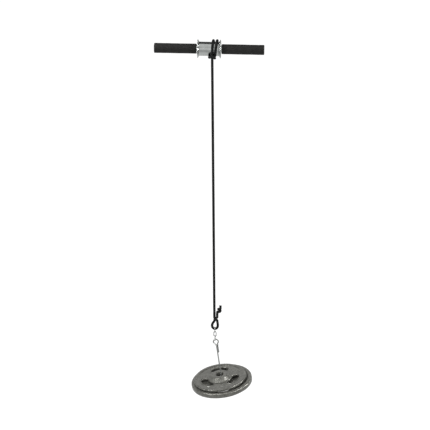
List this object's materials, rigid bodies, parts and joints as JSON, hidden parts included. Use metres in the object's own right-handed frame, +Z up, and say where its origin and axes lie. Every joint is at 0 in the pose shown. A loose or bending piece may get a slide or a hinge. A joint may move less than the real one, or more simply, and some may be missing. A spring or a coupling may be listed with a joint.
{
  "type": "wrist roller",
  "caption": "Wrist roller: foam-gripped bar with a flanged drum, a long rope tied to it, a short chain and a hanger rod that carries round iron weight plates.",
  "frame": {"origin": "the middle of the bar's axis, at the middle of the drum", "axes": "+X along the bar to the right, -Y to the side that the rope hangs on, +Z up"},
  "size_m": [0.392, 0.233, 1.4017],
  "materials": {
    "chrome_steel": "polished plate, a little worn",
    "zinc_steel": "bright zinc plate",
    "foam": "matt closed-cell foam",
    "plug_plastic": "matt moulded",
    "rope": "braided, matt",
    "iron": "grey hammertone paint"
  },
  "bodies": {
    "line": {"rope_line": "rope"},
    "roller": {"axle_tube": "chrome_steel", "spool_drum": "chrome_steel", "left_flange": "chrome_steel", "right_flange": "chrome_steel", "left_grip": "foam", "right_grip": "foam", "left_end_plug": "plug_plastic", "right_end_plug": "plug_plastic", "rope_wrap": "rope"},
    "load": {"rope_eye": "rope", "rope_tail": "rope"},
    "link_1": {"top_link": "zinc_steel"},
    "link_2": {"middle_link": "zinc_steel"},
    "link_3": {"bottom_link": "zinc_steel"},
    "hanger": {"hanger_rod": "zinc_steel", "foot_disc": "zinc_steel", "foot_nut": "zinc_steel"},
    "plate_1": {"large_plate": "iron"},
    "plate_2": {"small_plate": "iron"}
  },
  "joints": [
    {"name": "roller_turn", "type": "hinge", "parent": "line", "child": "roller", "pos_m": [0, 0, 0], "axis": [-1, 0, 0], "range_deg": [0, 1800]},
    {"name": "load_lift", "type": "slide", "parent": "line", "child": "load", "axis": [0, 0, 1], "range_m": [0, 0.957], "deforming": ["rope_line"]},
    {"name": "top_link_swing", "type": "hinge", "parent": "load", "child": "link_1", "pos_m": [0.0147, -0.03045, -1.11535], "axis": [1, 0, 0], "range_deg": [-35, 35]},
    {"name": "middle_link_swing", "type": "hinge", "parent": "link_1", "child": "link_2", "pos_m": [0.0147, -0.03045, -1.1301], "axis": [0, 1, 0], "range_deg": [-35, 35]},
    {"name": "bottom_link_swing", "type": "hinge", "parent": "link_2", "child": "link_3", "pos_m": [0.0147, -0.03045, -1.1481], "axis": [1, 0, 0], "range_deg": [-35, 35]},
    {"name": "hanger_swing", "type": "hinge", "parent": "link_3", "child": "hanger", "pos_m": [0.0147, -0.03045, -1.1661], "axis": [0, 1, 0], "range_deg": [-35, 35]},
    {"name": "large_plate_turn", "type": "hinge", "parent": "hanger", "child": "plate_1", "pos_m": [0.03931, -0.03045, -1.34231], "axis": [-0.1305, 0, 0.9914], "continuous": true},
    {"name": "small_plate_lift", "type": "slide", "parent": "plate_1", "child": "plate_2", "axis": [-0.1305, 0, 0.9914], "range_m": [0, 0.08]}
  ],
  "couplings": [
    {"joint": "load_lift", "follows": "roller_turn", "m_per_rad": 0.03045}
  ]
}
